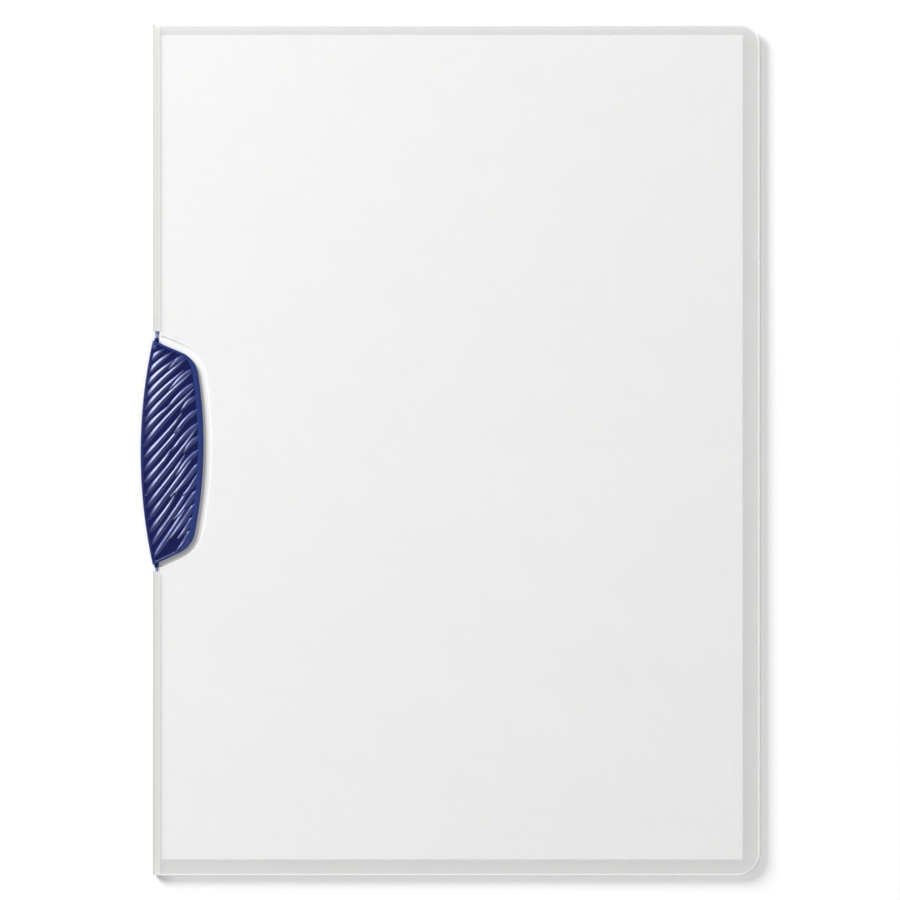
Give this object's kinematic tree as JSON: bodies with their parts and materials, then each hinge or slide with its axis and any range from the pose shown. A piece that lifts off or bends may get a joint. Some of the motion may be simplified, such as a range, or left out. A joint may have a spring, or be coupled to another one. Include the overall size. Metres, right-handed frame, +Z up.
{
  "type": "clip folder",
  "caption": "A4 presentation folder with clear film covers, a sheet stack and a domed plastic clip that turns on pins in the spine fold.",
  "frame": {"origin": "under the middle of the folder's box, on the surface that it lies on", "axes": "+X from the spine to the fore edge, +Y to the top of the page, +Z up through the front cover"},
  "size_m": [0.223, 0.3064, 0.0047],
  "materials": {
    "back_film": "translucent grey film, satin",
    "front_film": "clear glossy film",
    "paper": "matt white",
    "clip_plastic": "glossy dark blue moulding"
  },
  "bodies": {
    "folder": {"back_cover": "back_film", "paper_stack": "paper"},
    "front": {"front_cover": "front_film"},
    "clip": {"clip": "clip_plastic"}
  },
  "joints": [
    {"name": "front_cover_open", "type": "hinge", "parent": "folder", "child": "front", "pos_m": [-0.10468, 0, 0.00315], "axis": [0, -1, 0], "range_deg": [0, 180]},
    {"name": "clip_turn", "type": "hinge", "parent": "folder", "child": "clip", "pos_m": [-0.10575, -0.001, 0.00155], "axis": [0, -1, 0], "range_deg": [0, 170]}
  ]
}
